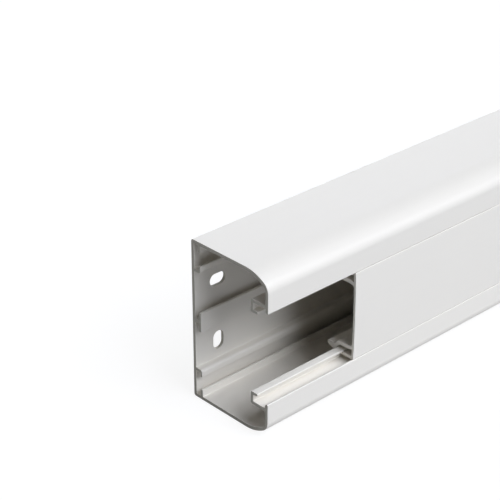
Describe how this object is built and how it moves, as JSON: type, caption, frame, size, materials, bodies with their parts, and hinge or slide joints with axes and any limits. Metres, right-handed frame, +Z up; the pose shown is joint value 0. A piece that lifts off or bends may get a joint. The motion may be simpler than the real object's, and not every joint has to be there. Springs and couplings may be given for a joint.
{
  "type": "wall trunking",
  "caption": "Straight length of rigid plastic wall trunking, a slotted channel with rounded front shoulders and a clip-on cover set back at one end to show the cable space.",
  "frame": {"origin": "centre of the box round the whole trunking, at the height of its lower wall's outer face", "axes": "+X along the trunking, away from the end where the cover is set back; +Y out of the back wall, towards the wall that it is fixed to; +Z up, from the lower wall to the upper wall"},
  "size_m": [2, 0.0604, 0.1],
  "materials": {
    "base_pvc": "satin",
    "lid_pvc": "satin"
  },
  "bodies": {
    "root": {"base_profile": "base_pvc", "lid": "lid_pvc"}
  },
  "joints": []
}
